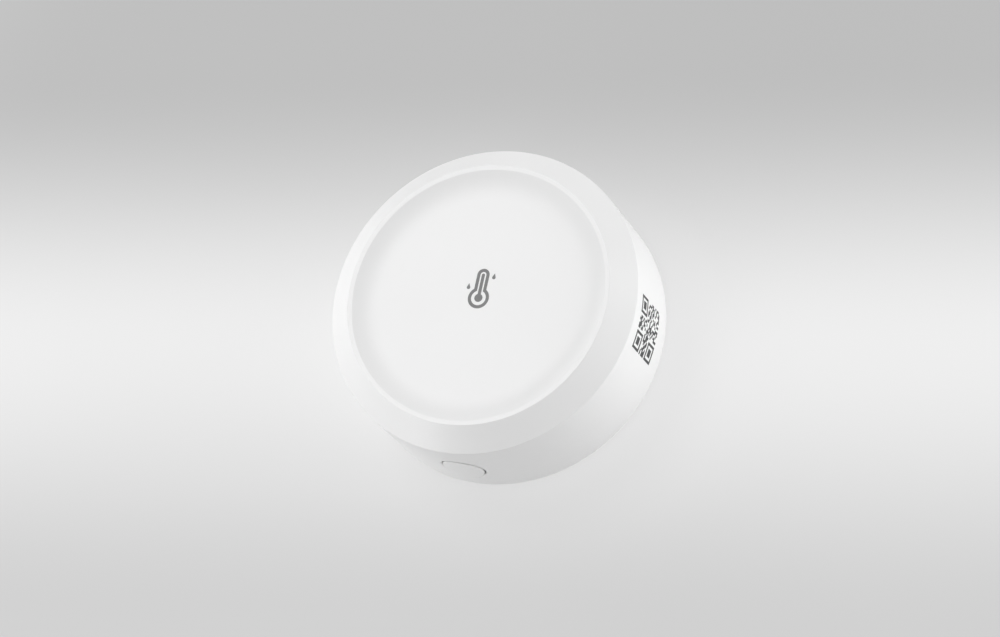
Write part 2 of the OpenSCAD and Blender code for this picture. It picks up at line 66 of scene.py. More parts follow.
# Gathers the grids of one piece, with one normal for each point
class Skin:
    def __init__(self):
        self.points, self.normals, self.faces, self.count = [], [], [], 0

    # Takes a grid of points with their normals, and gives back the grid of their indices
    def addPoints(self, points, normals):
        shape = points.shape[:-1]
        total = int(np.prod(shape))
        self.points.append(points.reshape(-1, 3))
        self.normals.append(np.broadcast_to(normals, points.shape).reshape(-1, 3))
        self.count += total
        return np.arange(self.count - total, self.count).reshape(shape)

    # Takes faces as rows of corner indices, in an array of any shape
    def addFaces(self, faces):
        self.faces += faces.reshape(-1, faces.shape[-1]).tolist()

    # Closes the first or the last ring of a grid with a fan to one point
    def addPole(self, ring, point, normal, atStart):
        pole = self.addPoints(np.array(point, float), np.array(normal, float))
        after = np.roll(ring, -1)
        middle = np.full_like(ring, pole)
        order = [middle, ring, after] if atStart else [ring, middle, after]
        self.addFaces(np.stack(order, axis=-1))

    # A closed surface from a grid of rings; poles are the points that close its two ends
    def addCapped(self, points, poles=None):
        normals = gridNormals(points)
        index = self.addPoints(points, normals)
        self.addFaces(gridFaces(index))
        first, last = poles or (points[0].mean(axis=0), points[-1].mean(axis=0))
        for end, pole, atStart in ((0, first, True), (-1, last, False)):
            self.addPole(index[end], pole, normals[end].mean(axis=0), atStart)

    # A ring-shaped surface: the rows close on themselves as the columns do
    def addRing(self, points):
        padded = np.concatenate([points[-1:], points, points[:1]])
        index = self.addPoints(points, gridNormals(padded)[1:-1])
        self.addFaces(gridFaces(np.concatenate([index, index[:1]])))

    # Puts the grids into one mesh; a flat piece keeps its hard edges
    def build(self, name, flat=False):
        mesh = bpy.data.meshes.new(name)
        mesh.from_pydata((np.concatenate(self.points) * mm).tolist(), [], self.faces)
        if not flat:
            mesh.shade_smooth()
            mesh.normals_split_custom_set_from_vertices(np.concatenate(self.normals).tolist())
        piece = bpy.data.objects.new(name, mesh)
        bpy.context.scene.collection.objects.link(piece)
        print(name, "has", len(mesh.vertices), "points and", len(mesh.polygons), "faces")
        return piece


# A vector divided by its own length
def unit(v):
    return v / np.linalg.norm(v)


# Arc of the given radius that touches the edges before and after a corner
def roundCorner(before, corner, after, radius, steps=5):
    before, corner, after = (np.array(p, float) for p in (before, corner, after))
    back, ahead = unit(before - corner), unit(after - corner)
    half = np.arccos(back @ ahead) / 2
    middle = corner + unit(back + ahead) * radius / np.sin(half)
    start = corner + back * radius / np.tan(half) - middle
    side = -np.sign(back[0] * ahead[1] - back[1] * ahead[0])
    turn = side * np.linspace(0, np.pi - 2 * half, steps + 1)[:, None]
    return middle + start * np.cos(turn) + start[::-1] * [-1, 1] * np.sin(turn)


# Path through corners (across, up), rounded alike; a loop rounds its first and last corner too
def roundedPath(corners, radius, loop=False, steps=4):
    ends = [corners[-1], *corners, corners[0]] if loop else corners
    arcs = [roundCorner(a, b, c, radius, steps) for a, b, c in zip(ends, ends[1:], ends[2:])]
    if loop:
        return np.concatenate(arcs)
    return np.concatenate([[corners[0]], *arcs, [corners[-1]]])


# Path (radius, height) carried round an upright axis
def lathe(path, theta, middle=(0, 0)):
    radius = path[:, :1]
    height = np.broadcast_to(path[:, 1:], (len(path), len(theta)))
    x, y = middle[0] + radius * np.cos(theta), middle[1] + radius * np.sin(theta)
    return np.stack([x, y, height], axis=-1)


# Even angles once round the axis
def fullTurn(steps):
    return np.linspace(0, 2 * np.pi, steps, endpoint=False)


# Housing: dish, lip, bezel and wall outside and the hollow inside are one closed skin

housing = {
    "rimZ": 16.7,  # where bezel and wall meet
    "draft": 0.1,  # how much wider in radius the rim is than the back edge
    "lipR": 23.5,
    "lipWidth": 0.8,
    "lipFall": 0.055,  # towards the dish
    "dishDepth": 0.9,
    "dishCurve": 16.5,  # radius of the arc that rises to the lip
    "dishRings": 13,
    "flatRings": 4,
    "poleR": 1.0,  # smallest ring round the middle
    "wallT": 1.8,
    "rimRound": 0.16,
    "lipRound": 0.15,
    "creaseRound": 0.06,
    "insideRound": 0.4,
    "rowTop": 15.0,  # rows of the wall's grid, from the front to the back
    "rowPitch": 0.7,
    "rowCount": 20,
    "plainStep": 2.0,  # degrees between columns away from the openings
    "spokeRings": 8,  # from a window to its hole, closer together near the hole
    "spokeCrowd": 1.5,
    "rollRings": 6,
    "postAngles": (45, 135, 225, 315),
    "postR": 2.2,
    "postBore": 1.03,
    "postAt": 21.1,
    "postZ": 11.8,
    "boreDepth": 3.8,
    "postPoleR": 0.2,
    "postSpokes": 40,
    "lockAngles": (90, 210, 330),
    "tabAngle": 24,
    "tabR": 24.0,
    "tabZ": 2.1,
    "tabT": 1.0,
    "stopFrom": 10.68,  # degrees from the middle of a tab
    "stopAngle": 3,
    "stopTop": 4.4,
    "stopIn": 0.3,  # how far a stop lies behind the tab's inner edge
    "sectorSteps": 17,
    "tabRound": 0.12,
    "fuse": 0.4,  # how far a part runs into the one that carries it
}
button = {
    "angle": -90,
    "capR": 3.7,
    "gap": 0.2,
    "sleeveT": 1.1,
    "sleeveR": 22.4,
    "flangeGap": 0.1,
    "flangeT": 1.0,
    "stemR": 1.5,
    "neck": 1.0,  # plain length in front of the flange
    "proud": 0.15,  # how far the face stands out of the wall
    "capRoll": 0.15,
    "capEase": 0.08,  # the face is drawn in by this much, so that the gap round it shows
    "hiddenRound": 0.12,
    "holeRoll": 0.25,
    "poleR": 0.3,
    "faceRings": 7,
    "rollRings": 7,
    "spokes": 96,
    "windowHalf": 14,  # degrees
    "windowCols": 20,
    "windowRows": (1, 19),
}
vents = {
    "angle": 90,
    "count": 7,
    "pitch": 2.4,
    "width": 1.0,
    "height": 6.0,
    "middleZ": 10.8,
    "holeRoll": 0.12,
    "windowCols": 8,
    "windowRows": (0, 12),
}

low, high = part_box("front_housing")
rimR, topZ, backZ = high.y / mm, high.z / mm, low.z / mm
rimZ, backR = housing["rimZ"], rimR - housing["draft"]
innerR = rimR - housing["wallT"]
dishZ = topZ - housing["dishDepth"]
ceilingZ = dishZ - housing["wallT"]
capLow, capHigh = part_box("button_cap")
buttonZ = (capLow.z + capHigh.z) / 2 / mm
ventStep = np.degrees(vents["pitch"] / rimR)


# The wall is a cone between its back edge and the rim
def wallR(z):
    return backR + (rimR - backR) * (z - backZ) / (rimZ - backZ)


# How far out the wall lies at u beside the middle of an opening
def wallOut(u, z):
    return np.sqrt(wallR(z) ** 2 - u ** 2)


# The same for the wall's inside, which is a plain cylinder
def insideOut(u):
    return np.sqrt(innerR ** 2 - u ** 2)


# Local (beside, up, out) of an opening, turned by its angle about the axis
def atWall(u, z, out, angle):
    u, z, out = np.broadcast_arrays(u, z, out)
    x = out * np.cos(angle) - u * np.sin(angle)
    y = out * np.sin(angle) + u * np.cos(angle)
    return np.stack([x, y, z], axis=-1)


# Columns round the axis: fine in the windows of button and vents, even in between
def housingColumns():
    buttonFrom = button["angle"] - button["windowHalf"]
    buttonTo = button["angle"] + button["windowHalf"]
    ventHalf = vents["count"] * ventStep / 2
    ventFrom, ventTo = vents["angle"] - ventHalf, vents["angle"] + ventHalf
    stops = [buttonFrom, buttonTo, ventFrom, ventTo, buttonFrom + 360]
    plain = int(round((ventFrom - buttonTo) / housing["plainStep"]))
    spans = [button["windowCols"], plain, vents["count"] * vents["windowCols"], plain]
    parts = [np.linspace(a, b, n, endpoint=False) for a, b, n in zip(stops, stops[1:], spans)]
    return np.radians(np.concatenate(parts)), button["windowCols"] + plain


# Outline from the dish's middle over lip, bezel, rim and wall, then inside to the middle again.
# The dish is flat and then follows one arc, the lip falls a little towards it, and every corner is a
# small arc
def housingPaths():
    curve, lipR = housing["dishCurve"], housing["lipR"]
    dishR = lipR - housing["lipWidth"]
    edgeZ = topZ - housing["lipFall"]
    dishEnd = np.arccos(1 - (edgeZ - dishZ) / curve)
    flatR = dishR - curve * np.sin(dishEnd)
    lean = np.linspace(0, dishEnd, housing["dishRings"])[:, None]
    arc = np.concatenate([flatR + curve * np.sin(lean), dishZ + curve * (1 - np.cos(lean))], axis=1)
    run, rise = rimR - lipR, topZ - rimZ
    slope = rise / run
    shoulderZ = topZ - (innerR - lipR) * slope - housing["wallT"] * np.hypot(run, rise) / run
    ceilingR = innerR - (ceilingZ - shoulderZ) / slope
    dishEdge, lipEdge, rim = (dishR, edgeZ), (lipR, topZ), (rimR, rimZ)
    backEdge, mouth = (backR, backZ), (innerR, backZ)
    shoulder, ceiling = (innerR, shoulderZ), (ceilingR, ceilingZ)
    rings, poleR = housing["flatRings"], housing["poleR"]
    flat = np.stack([np.linspace(poleR, flatR, rings + 1)[:-1], np.full(rings, dishZ)], axis=1)
    roof = np.stack([np.linspace(ceilingR - poleR, poleR, rings), np.full(rings, ceilingZ)], axis=1)
    upper = np.concatenate([
        flat,
        arc[:-1],
        roundCorner(arc[-2], dishEdge, lipEdge, housing["creaseRound"], steps=3),
        roundCorner(dishEdge, lipEdge, rim, housing["lipRound"], steps=4),
        roundCorner(lipEdge, rim, backEdge, housing["rimRound"], steps=6),
    ])
    lower = np.concatenate([
        roundCorner(rim, backEdge, mouth, housing["rimRound"], steps=6),
        roundCorner(backEdge, mouth, shoulder, housing["lipRound"], steps=3),
    ])
    inside = np.concatenate([
        roundCorner(mouth, shoulder, ceiling, housing["insideRound"]),
        roundCorner(shoulder, ceiling, (0, ceilingZ), housing["insideRound"]),
        roof,
    ])
    return upper, lower, inside


theta, firstVent = housingColumns()
rowZ = housing["rowTop"] - housing["rowPitch"] * np.arange(housing["rowCount"])


# Outline of a round hole, a ray towards each point of its window: seats and aims (beside, up)
def roundHole(edgeU, edgeZ):
    reach = np.hypot(edgeU, edgeZ - buttonZ)
    return np.zeros_like(edgeU), np.full_like(edgeU, buttonZ), edgeU / reach, (edgeZ - buttonZ) / reach


# Outline of an upright slot: half circles above and below, straight sides between
def slotHole(edgeU, edgeZ):
    cols, rows = vents["windowCols"], vents["windowRows"][1] - vents["windowRows"][0]
    straight = (vents["height"] - vents["width"]) / 2
    over = np.linspace(np.pi, 0, cols, endpoint=False)
    under = np.linspace(0, -np.pi, cols, endpoint=False)
    down = np.linspace(straight, -straight, rows, endpoint=False)
    turn = np.concatenate([over, np.zeros(rows), under, np.full(rows, np.pi)])
    rise = np.concatenate([np.full(cols, straight), down, np.full(cols, -straight), -down])
    return np.zeros_like(turn), vents["middleZ"] + rise, np.cos(turn), np.sin(turn)


# Opening in the wall. Every spoke starts at its window outside, runs over the rolled edge of the hole,
# through the wall and round the end of a sleeve, if there is one, and back to the same window inside
def cutOpening(skin, outer, inner, angle, rows, firstCol, cols, hole, radius, roll, sleeve=0):
    rowCount, lastRow, lastCol = rows[1] - rows[0], rows[1], firstCol + cols
    k = np.concatenate([
        np.full(cols, rows[0]), np.arange(rows[0], lastRow),
        np.full(cols, lastRow), np.arange(lastRow, rows[0], -1),
    ])
    c = np.concatenate([
        np.arange(firstCol, lastCol), np.full(rowCount, lastCol),
        np.arange(lastCol, firstCol, -1), np.full(rowCount, firstCol),
    ])
    beside, edgeZ = np.sin(theta[c] - angle), rowZ[k]
    seatU, seatZ, aimU, aimZ = hole(beside * wallR(edgeZ), edgeZ)

    # Rows of the path: share of the way to the window, growth of the hole, depth, and the face it counts
    # from, which is 0 for the wall outside, 1 for the wall inside and 2 for the sleeve's end
    sweep = np.linspace(0, np.pi / 2, housing["rollRings"])
    none, near, far = np.zeros_like(sweep), roll * (1 - np.sin(sweep)), roll * (1 - np.cos(sweep))
    shares = np.linspace(1, 0, housing["spokeRings"]) ** housing["spokeCrowd"]
    path = [(s, roll, 0, 0) for s in shares[:-1]] + list(zip(none, near, far, none))
    if sleeve:
        path += list(zip(none, far, near, none + 2)) + list(zip(none, sleeve - near, far, none + 2))
        path += [(s, sleeve, 0, 1) for s in shares[::-1]]
    else:
        path += list(zip(none, far, near, none + 1))
        path += [(s, roll, 0, 1) for s in shares[-2::-1]]
    share, grow, depth, face = np.array(path).T[:, :, None]

    edgeU = beside * np.where(face == 0, wallR(edgeZ), innerR)
    u = (1 - share) * (seatU + aimU * (radius + grow)) + share * edgeU
    z = (1 - share) * (seatZ + aimZ * (radius + grow)) + share * edgeZ
    inward = np.where(face == 1, insideOut(u), button["sleeveR"]) + depth
    points = atWall(u, z, np.where(face == 0, wallOut(u, z) - depth, inward), angle)
    new = skin.addPoints(points[1:-1], gridNormals(points)[1:-1])
    skin.addFaces(gridFaces(np.concatenate([outer[k, c][None], new, inner[k, c][None]])))


# Part of a ring: a rounded box section carried along an arc
def addSector(skin, middle, span, rIn, rOut, zLow, zHigh):
    box = [(rIn, zLow), (rOut, zLow), (rOut, zHigh), (rIn, zHigh)]
    section = roundedPath(box, housing["tabRound"], loop=True, steps=3)
    steps = housing["sectorSteps"]
    turn = np.radians(np.linspace(middle - span / 2, middle + span / 2, steps))[:, None]
    radius, height = (np.broadcast_to(side, (steps, len(section))) for side in section.T)
    skin.addCapped(np.stack([radius * np.cos(turn), radius * np.sin(turn), height], axis=-1))


# Screw posts under the front: a round bar with a bore in its free end, turned about its own axis
def addPosts(skin):
    postR, boreR, poleR = housing["postR"], housing["postBore"], housing["postPoleR"]
    endZ, rootZ = housing["postZ"], ceilingZ + housing["fuse"]
    boreZ = endZ + housing["boreDepth"]
    path = roundedPath([
        (poleR, rootZ), (postR, rootZ), (postR, endZ), (boreR, endZ), (boreR, boreZ), (poleR, boreZ),
    ], housing["tabRound"])
    for corner in np.radians(housing["postAngles"]):
        at = housing["postAt"] * np.array([np.cos(corner), np.sin(corner)])
        skin.addCapped(lathe(path, fullTurn(housing["postSpokes"]), at))


# The outline is turned round the axis as one grid. Openings fill the windows that are left out of it,
# and posts, tabs and stops stand inside
def makeHousing():
    skin = Skin()
    upper, lower, inside = housingPaths()
    wall = np.stack([wallR(rowZ), rowZ], axis=1)
    hollow = np.stack([np.full_like(rowZ, innerR), rowZ], axis=1)[::-1]
    points = lathe(np.concatenate([upper, wall, lower, hollow, inside]), theta)
    index = skin.addPoints(points, gridNormals(points))
    top, count = len(upper), housing["rowCount"]
    hollowTop = top + count + len(lower) + count - 1
    outer = index[top:top + count]
    inner = index[hollowTop - count + 1:hollowTop + 1][::-1]

    # The windows of button and vents are left out of the even grid and filled by the openings
    windows = [(button["windowRows"], 0, button["windowCols"], button["angle"])]
    for i in range(vents["count"]):
        angle = vents["angle"] + (i - (vents["count"] - 1) / 2) * ventStep
        col = firstVent + i * vents["windowCols"]
        windows.append((vents["windowRows"], col, vents["windowCols"], angle))
    faces = gridFaces(index)
    keep = np.ones(faces.shape[:2], bool)
    for rows, col, cols, _ in windows:
        keep[top + rows[0]:top + rows[1], col:col + cols] = False
        keep[hollowTop - rows[1]:hollowTop - rows[0], col:col + cols] = False
    skin.addFaces(faces[keep])
    skin.addPole(index[0], (0, 0, dishZ), (0, 0, 1), True)
    skin.addPole(index[-1], (0, 0, ceilingZ), (0, 0, -1), False)
    for i, (rows, col, cols, angle) in enumerate(windows):
        hole = slotHole if i else roundHole
        radius = vents["width"] / 2 if i else button["capR"] + button["gap"]
        roll = vents["holeRoll"] if i else button["holeRoll"]
        sleeve = 0 if i else button["sleeveT"]
        cutOpening(skin, outer, inner, np.radians(angle), rows, col, cols, hole, radius, roll, sleeve)

    addPosts(skin)
    tabR, tabZ, fuse = housing["tabR"], housing["tabZ"], housing["fuse"]
    tabTop, stopR, stopAngle = tabZ + housing["tabT"], tabR + housing["stopIn"], housing["stopAngle"]
    for lock in housing["lockAngles"]:
        addSector(skin, lock, housing["tabAngle"], tabR, innerR + fuse, tabZ, tabTop)
        stopAt = lock + housing["stopFrom"] + stopAngle / 2
        addSector(skin, stopAt, stopAngle, stopR, innerR + 2 * fuse, tabTop - fuse, housing["stopTop"])
    return skin.build("housing_shell")


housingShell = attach(makeHousing(), "sensor")
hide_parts("front_housing")


# Button key: its face stands a little out of the wall, its edge is rolled, and a flange and a stem are
# behind it. Rings of growing radius follow the wall, then the rolled edge, then the path behind
def makeKey():
    around = -fullTurn(button["spokes"])
    roll, capR = button["capRoll"], button["capR"] - button["capEase"]
    flangeOut = button["sleeveR"] - button["flangeGap"]
    stemOut, stemEnd = flangeOut - button["flangeT"], -capHigh.y / mm
    flangeR, stemR = (capHigh.z - capLow.z) / 2 / mm, button["stemR"]
    poleR, rings = button["poleR"], button["faceRings"]
    flatR = np.linspace(poleR, capR - roll, rings + 1)[:-1]
    sweep = np.linspace(0, np.pi / 2, button["rollRings"])
    faceR = np.concatenate([flatR, capR - roll * (1 - np.sin(sweep))])
    faceDepth = np.concatenate([np.zeros(rings), roll * (1 - np.cos(sweep))])
    behind = roundedPath([
        (capR, flangeOut + button["neck"]), (capR, flangeOut), (flangeR, flangeOut), (flangeR, stemOut),
        (stemR, stemOut), (stemR, stemEnd), (poleR, stemEnd),
    ], button["hiddenRound"])
    radius = np.concatenate([faceR, behind[:, 0]])[:, None]
    u, z = radius * np.cos(around), buttonZ + radius * np.sin(around)
    face = wallOut(u[:len(faceR)], z[:len(faceR)]) + button["proud"] - faceDepth[:, None]
    rest = np.broadcast_to(behind[:, 1:], (len(behind), len(around)))
    skin = Skin()
    skin.addCapped(atWall(u, z, np.concatenate([face, rest]), np.radians(button["angle"])))
    return skin.build("button_key")


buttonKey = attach(makeKey(), "button")
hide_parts("button_cap")


# Thermometer pictogram, printed on the dish as thin films of ink

pictogram = {
    "turn": 1.47,  # degrees
    "bulb": (-0.04, -0.36),
    "bulbR": 1.9,
    "tubeHalf": 1.11,
    "top": 4.92,
    "stroke": 0.57,
    "fillBulbR": 0.73,
    "fillTop": 4.06,
    "dropR": 0.31,
    "drops": (((1.94, 3.5), (1.98, 4.27)), ((-2.24, 1.36), (-2.25, 2.11))),  # body and tip of each
    "film": 0.015,  # half of the film's thickness; the other half is in the dish
    "bulbSteps": 73,
    "tubeSteps": 33,
    "dropSteps": 33,
}


# Keyhole outline: a bulb's circle, open at the top, where a tube with a round end goes on
def keyhole(bulbR, half, top):
    x, y = pictogram["bulb"]
    meet = np.arcsin(half / bulbR)
    below = np.linspace(np.pi / 2 + meet, 2.5 * np.pi - meet, pictogram["bulbSteps"])
    above = np.linspace(0, np.pi, pictogram["tubeSteps"])
    bulb = np.stack([x + bulbR * np.cos(below), y + bulbR * np.sin(below)], axis=1)
    tube = np.stack([x + half * np.cos(above), top - half + half * np.sin(above)], axis=1)
    return np.concatenate([bulb, tube])


# Drop outline: a circle and the two lines from it to a tip
def dropOutline(body, tip):
    body, tip = np.array(body), np.array(tip)
    reach = np.hypot(*(tip - body))
    lean = np.arctan2(*(tip - body)[::-1])
    touch = np.arccos(pictogram["dropR"] / reach)
    around = lean + np.linspace(touch, 2 * np.pi - touch, pictogram["dropSteps"])
    circle = body + pictogram["dropR"] * np.stack([np.cos(around), np.sin(around)], axis=1)
    return np.concatenate([circle, [tip]])


# Puts a flat outline on the dish, turned with the pictogram, at a height above the dish
def onDish(outline, lift):
    turn = np.radians(pictogram["turn"])
    x, y = np.atleast_2d(outline).T
    turnedX, turnedY = x * np.cos(turn) - y * np.sin(turn), x * np.sin(turn) + y * np.cos(turn)
    return np.stack([turnedX, turnedY, np.full_like(x, dishZ + lift)], axis=-1)


# A film between two keyhole outlines, a smaller keyhole inside it, and the drops
def makePictogram():
    film, stroke = pictogram["film"], pictogram["stroke"]
    outside = keyhole(*(pictogram[k] for k in ("bulbR", "tubeHalf", "top")))
    inside = keyhole(*(pictogram[k] - stroke for k in ("bulbR", "tubeHalf", "top")))
    skin = Skin()
    skin.addRing(np.stack([
        onDish(inside, film), onDish(outside, film), onDish(outside, -film), onDish(inside, -film),
    ]))
    fill = keyhole(pictogram["fillBulbR"], stroke / 2, pictogram["fillTop"])
    shapes = [(fill, pictogram["bulb"])] + [(dropOutline(*drop), drop[0]) for drop in pictogram["drops"]]
    for outline, middle in shapes:
        rings = np.stack([onDish(outline, film), onDish(outline, -film)])
        skin.addCapped(rings, (onDish(middle, film)[0], onDish(middle, -film)[0]))
    return skin.build("pictogram_print", flat=True)


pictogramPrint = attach(makePictogram(), "sensor")


# Square code on the wall: made-up modules, with a framed square in three corners

code = {
    "turn": 1.47,  # degrees
    "modules": 21,
    "corner": 7,  # modules along a corner square
    "wide": 9.55,
    "front": 13.95,
    "back": 4.58,
    "film": 0.012,  # half of the film's thickness; the other half is in the wall
    "seed": 279,
    "fill": 0.5,
}


# Which modules are dark: random, but for the framed corner squares and the light border round them
def darkModules():
    n, size = code["modules"], code["corner"]
    dark = np.random.default_rng(code["seed"]).random((n, n)) < code["fill"]
    away = np.abs(np.arange(size) - size // 2)
    ring = np.maximum.outer(away, away)
    square = (ring == size // 2) | (ring < 2)
    for row, col in ((0, n - size), (0, 0), (n - size, 0)):
        dark[max(row - 1, 0):row + size + 1, max(col - 1, 0):col + size + 1] = False
        dark[row:row + size, col:col + size] = square
    return dark


# Films on the wall: a top and a bottom for each dark module and a side where its neighbour is light
def makeCode():
    n, film = code["modules"], code["film"]
    dark = darkModules()
    along = np.linspace(-code["wide"] / 2, code["wide"] / 2, n + 1)
    z = np.linspace(code["front"], code["back"], n + 1)[:, None]
    turn = np.radians(code["turn"]) + along / rimR
    layers = []
    for lift in (film, -film):
        out = wallR(z) + lift
        layers.append(np.stack(np.broadcast_arrays(out * np.cos(turn), out * np.sin(turn), z), axis=-1))
    under = (n + 1) ** 2  # from the index of a point on top to the one below it
    cells = openFaces(np.arange(under).reshape(n + 1, n + 1))
    a, b, c, d = np.moveaxis(cells, -1, 0)
    light = np.pad(~dark, 1, constant_values=True)
    quads = [cells[dark], cells[dark][:, ::-1] + under]
    sides = (
        (a, d, light[:-2, 1:-1]), (c, b, light[2:, 1:-1]),
        (b, a, light[1:-1, :-2]), (d, c, light[1:-1, 2:]),
    )
    for start, end, free in sides:
        quads.append(np.stack([start, end, end + under, start + under], -1)[dark & free])
    used, faces = np.unique(np.concatenate(quads), return_inverse=True)
    skin = Skin()
    skin.addPoints(np.concatenate([p.reshape(-1, 3) for p in layers])[used], np.zeros(3))
    skin.addFaces(faces.reshape(-1, 4))
    return skin.build("code_print", flat=True)


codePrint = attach(makeCode(), "sensor")


# Foam pad under the base

pad = {"edgeRound": 0.22, "bulge": 0.12, "poleR": 1.0, "spokes": 160}


# A disc, turned from a path that is widest halfway between its two flat faces
def makePad():
    padLow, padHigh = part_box("adhesive_pad")
    radius, foot, top = padHigh.x / mm, padLow.z / mm, padHigh.z / mm
    waist, poleR = radius - pad["bulge"], pad["poleR"]
    path = roundedPath([
        (poleR, top), (waist, top), (radius, (top + foot) / 2), (waist, foot), (poleR, foot),
    ], pad["edgeRound"])
    skin = Skin()
    skin.addCapped(lathe(path, fullTurn(pad["spokes"])))
    return skin.build("foam_pad")


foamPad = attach(makePad(), "base")
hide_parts("adhesive_pad")


# Camera: it looks down on the front from between the button and the code

camera = {
    "lens": 170.4,
    "sensor": 36,
    "aim": (5.155, -3.861, 20),
    "azimuth": 53.27,
    "elevation": 61.245,
    "roll": -42.966,
    "distance": 796.9,
    "clip": (0.01, 20),  # metres
}


# Unit vector from the object towards an azimuth and an elevation; azimuth counts from -y towards +x
def towards(azimuth, elevation):
    a, e = np.radians([azimuth, elevation])
    return np.array([np.sin(a) * np.cos(e), -np.cos(a) * np.cos(e), np.sin(e)])


# A matrix that stands at a distance from a point, looks back at it and is rolled about that line
def lookAt(aim, azimuth, elevation, distance, roll=0):
    back = towards(azimuth, elevation)
    level = unit(np.cross((0, 0, 1), back))
    rise = np.cross(back, level)
    r = np.radians(roll)
    right, up = level * np.cos(r) + rise * np.sin(r), rise * np.cos(r) - level * np.sin(r)
    axes = np.stack([right, up, back], axis=1)
    place = (np.array(aim) + back * distance) * mm
    return Matrix.Translation(place.tolist()) @ Matrix(axes.tolist()).to_4x4()


# Puts the camera in its place; the picture's width fixes its angle of view
def makeCamera():
    data = bpy.data.cameras.new("photo_camera")
    data.lens, data.sensor_width, data.sensor_fit = camera["lens"], camera["sensor"], "HORIZONTAL"
    data.clip_start, data.clip_end = camera["clip"]
    eye = bpy.data.objects.new("photo_camera", data)
    bpy.context.scene.collection.objects.link(eye)
    eye.matrix_world = lookAt(
        camera["aim"], camera["azimuth"], camera["elevation"], camera["distance"], camera["roll"]
    )
    bpy.context.scene.camera = eye


makeCamera()

print("shapes made")


# Finishes

# Shader maths: a wrapped socket whose operators add Math nodes
class Wire:
    def __init__(self, tree, socket=None):
        self.tree, self.socket = tree, socket

    # A node of a kind: its settings are set first, then the values or links of its sockets
    def put(self, kind, settings=None, sockets=None, out=0):
        node = self.tree.nodes.new("ShaderNode" + kind)
        for name, value in (settings or {}).items():
            setattr(node, name, value)
        for name, value in (sockets or {}).items():
            if isinstance(value, Wire):
                self.tree.links.new(value.socket, node.inputs[name])
            else:
                node.inputs[name].default_value = value
        return Wire(self.tree, node.outputs[out])

    # Another output of the same node
    def also(self, out):
        return Wire(self.tree, self.socket.node.outputs[out])

    # One Math node on values or links
    def maths(self, operation, *values):
        return self.put("Math", {"operation": operation}, dict(enumerate(values)))

    # Operators: one Math node each, also where a plain number stands first
    def __add__(self, other):
        return self.maths("ADD", self, other)

    def __radd__(self, other):
        return self.maths("ADD", other, self)

    def __sub__(self, other):
        return self.maths("SUBTRACT", self, other)

    def __rsub__(self, other):
        return self.maths("SUBTRACT", other, self)

    def __mul__(self, other):
        return self.maths("MULTIPLY", self, other)

    def __rmul__(self, other):
        return self.maths("MULTIPLY", other, self)

    def __pow__(self, other):
        return self.maths("POWER", self, other)

    def __abs__(self):
        return self.maths("ABSOLUTE", self)

    # 0 below the limit and 1 above it, with a smooth step of the given half width
    def above(self, limit, soft):
        return self.put("MapRange", {"interpolation_type": "SMOOTHSTEP"}, {
            "Value": self, "From Min": limit - soft, "From Max": limit + soft,
        })

    # The reverse: 1 below the limit and 0 above it
    def below(self, limit, soft):
        return 1 - self.above(limit, soft)


# Two values in shares that add up to 1
def blend(share, first, second):
    return share * first + (1 - share) * second


# A value from 0 to 1 as a swing about 0, of the given width from end to end
def swing(width, value):
    return width * (value - 0.5)


# A colour made darker or lighter by a factor
def shade(colour, factor):
    return tuple(c * factor for c in colour)


# A finish: its Principled shader and wires to the piece's own coordinates in millimetres
class Finish:
    def __init__(self, name):
        self.material = bpy.data.materials.new(name)
        self.material.use_nodes = True
        tree = self.material.node_tree
        self.shader = tree.nodes["Principled BSDF"]
        self.start = Wire(tree)
        self.metres = self.start.put("TexCoord", out="Object")
        self.at = self.vector("DIVIDE", self.metres, (mm, mm, mm))
        self.x = self.start.put("SeparateXYZ", None, {0: self.at})
        self.y, self.z = self.x.also(1), self.x.also(2)

    # One Vector Math node
    def vector(self, operation, first, second):
        return self.start.put("VectorMath", {"operation": operation}, {0: first, 1: second})

    # Noise from 0 to 1 with features of a size in millimetres, drawn out by stretch along x, y and z
    def noise(self, size, detail=2.0, stretch=(1, 1, 1)):
        place = self.vector("DIVIDE", self.at, stretch)
        return self.start.put("TexNoise", None, {"Vector": place, "Scale": 1 / size, "Detail": detail})

    # Noise that changes along one value only, as turned or brushed lines do
    def lines(self, along, size, detail=3.0):
        return self.start.put("TexNoise", {"noise_dimensions": "1D"}, {
            "W": along, "Scale": 1 / size, "Detail": detail,
        })

    # Distance from an upright axis
    def radius(self, x=0.0, y=0.0):
        return ((self.x - x) ** 2 + (self.y - y) ** 2) ** 0.5

    # 1 on faces that look along z, 0 on those that stand upright
    def level(self):
        facing = self.start.put("SeparateXYZ", None, {0: self.metres.also("Normal")}, out=2)
        return abs(facing).above(0.5, 0.1)

    # From the first colour at 0 to the second at 1
    def mix(self, factor, first, second):
        first, second = ((*c, 1) if isinstance(c, tuple) else c for c in (first, second))
        return self.start.put("Mix", {"data_type": "RGBA"}, {0: factor, 6: first, 7: second}, out=2)

    # A look's own tone, from its dark share at 0 to its light share at 1
    def tones(self, factor, tone, look):
        return self.mix(factor, shade(tone, look["dark"]), shade(tone, look["light"]))

    # A normal tilted by a height from 0 to 1 that stands for a depth in millimetres
    def bump(self, height, depth):
        return self.start.put("Bump", None, {"Strength": 1.0, "Distance": depth * mm, "Height": height})

    # Feeds the shader and puts the finish on pieces; a name stands for a CAD node
    def dress(self, pieces, sockets):
        for name, value in sockets.items():
            if isinstance(value, Wire):
                self.start.tree.links.new(value.socket, self.shader.inputs[name])
            else:
                self.shader.inputs[name].default_value = value
        for piece in pieces:
            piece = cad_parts[piece] if isinstance(piece, str) else piece
            if not piece.data.materials:
                piece.data.materials.append(self.material)
            for slot in piece.material_slots:
                slot.material = self.material


moulding = {"driftSize": 14, "grainGloss": 0.08, "driftGloss": 0.06}


